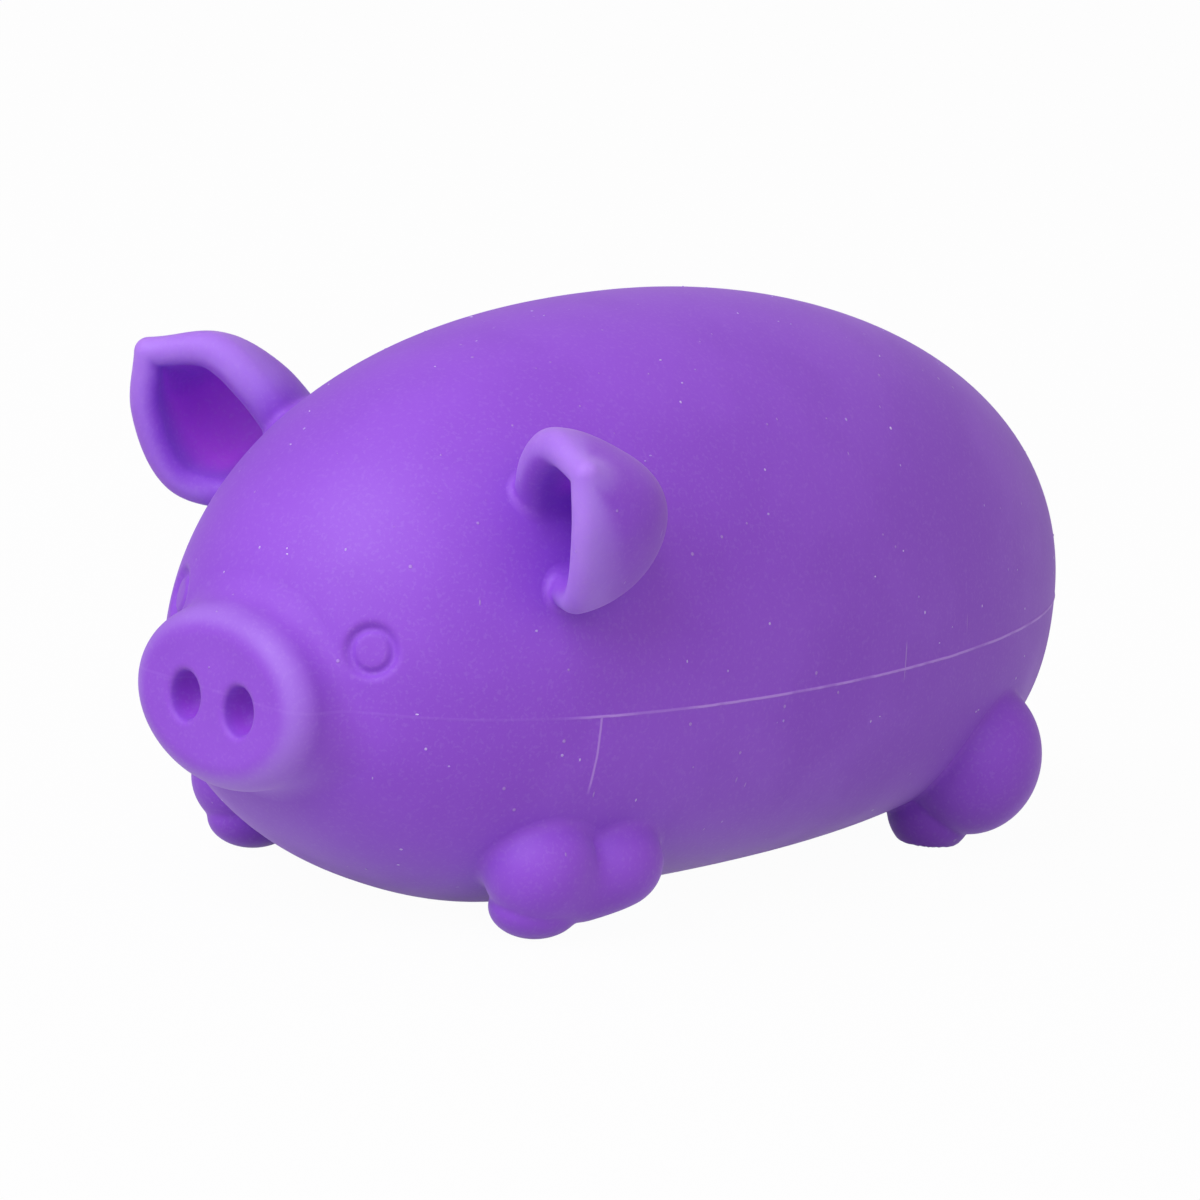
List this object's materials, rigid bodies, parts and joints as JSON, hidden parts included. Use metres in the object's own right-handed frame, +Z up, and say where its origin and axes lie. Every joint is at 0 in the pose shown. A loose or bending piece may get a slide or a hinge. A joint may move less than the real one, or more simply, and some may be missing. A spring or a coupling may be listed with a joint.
{
  "type": "pig squishy toy",
  "caption": "Palm-size squeeze toy shaped as a lying pig: soft rubber skin over a dough filling, with an oval snout, cupped ears, lobed feet and a curled tail.",
  "frame": {"origin": "on the floor, under the middle of the toy's length and width", "axes": "+X towards the toy's left side, -Y towards its face, +Z up"},
  "size_m": [0.0572, 0.1068, 0.0504],
  "materials": {
    "skin_rubber": "satin",
    "ear_rubber": "satin, slightly translucent",
    "plug_rubber": "satin",
    "dough": "matt"
  },
  "bodies": {
    "body": {"skin_belly": "skin_rubber", "skin_flank": "skin_rubber", "dough_filling": "dough", "fill_plug": "plug_rubber"},
    "back": {"skin_back": "skin_rubber"},
    "snout": {"snout": "skin_rubber"},
    "ear_left": {"ear_left": "ear_rubber"},
    "ear_right": {"ear_right": "ear_rubber"},
    "foot_front_left": {"foot_front_left": "skin_rubber"},
    "foot_front_right": {"foot_front_right": "skin_rubber"},
    "foot_rear_left": {"foot_rear_left": "skin_rubber"},
    "foot_rear_right": {"foot_rear_right": "skin_rubber"},
    "tail": {"tail": "skin_rubber"}
  },
  "joints": [
    {"name": "body_squeeze", "type": "slide", "parent": "body", "child": "back", "axis": [0, 0, -1], "range_m": [0, 0.008], "stiffness_N_per_m": 1500, "deforming": ["skin_flank", "dough_filling"]},
    {"name": "snout_press", "type": "slide", "parent": "body", "child": "snout", "axis": [0, 1, 0], "range_m": [0, 0.003], "stiffness_N_per_m": 800},
    {"name": "ear_left_flex", "type": "hinge", "parent": "back", "child": "ear_left", "pos_m": [0.01738, -0.02775, 0.03542], "axis": [-0.5147, 0, 0.8574], "range_deg": [-12, 20], "stiffness_Nm_per_rad": 0.02},
    {"name": "ear_right_flex", "type": "hinge", "parent": "back", "child": "ear_right", "pos_m": [-0.01738, -0.02775, 0.03542], "axis": [-0.5147, 0, -0.8574], "range_deg": [-12, 20], "stiffness_Nm_per_rad": 0.02},
    {"name": "foot_front_left_flex", "type": "hinge", "parent": "body", "child": "foot_front_left", "pos_m": [0.01749, -0.02636, 0.0074], "axis": [0, -1, 0], "range_deg": [-3, 6], "stiffness_Nm_per_rad": 0.3},
    {"name": "foot_front_right_flex", "type": "hinge", "parent": "body", "child": "foot_front_right", "pos_m": [-0.01749, -0.02636, 0.0074], "axis": [0, 1, 0], "range_deg": [-3, 6], "stiffness_Nm_per_rad": 0.3},
    {"name": "foot_rear_left_flex", "type": "hinge", "parent": "body", "child": "foot_rear_left", "pos_m": [0.01244, 0.0289, 0.00799], "axis": [0, -1, 0], "range_deg": [-3, 6], "stiffness_Nm_per_rad": 0.3},
    {"name": "foot_rear_right_flex", "type": "hinge", "parent": "body", "child": "foot_rear_right", "pos_m": [-0.01244, 0.0289, 0.00799], "axis": [0, 1, 0], "range_deg": [-3, 6], "stiffness_Nm_per_rad": 0.3},
    {"name": "tail_flex", "type": "hinge", "parent": "body", "child": "tail", "pos_m": [0, 0.0488, 0.0184], "axis": [1, 0, 0], "range_deg": [-12, 12], "stiffness_Nm_per_rad": 0.005}
  ]
}
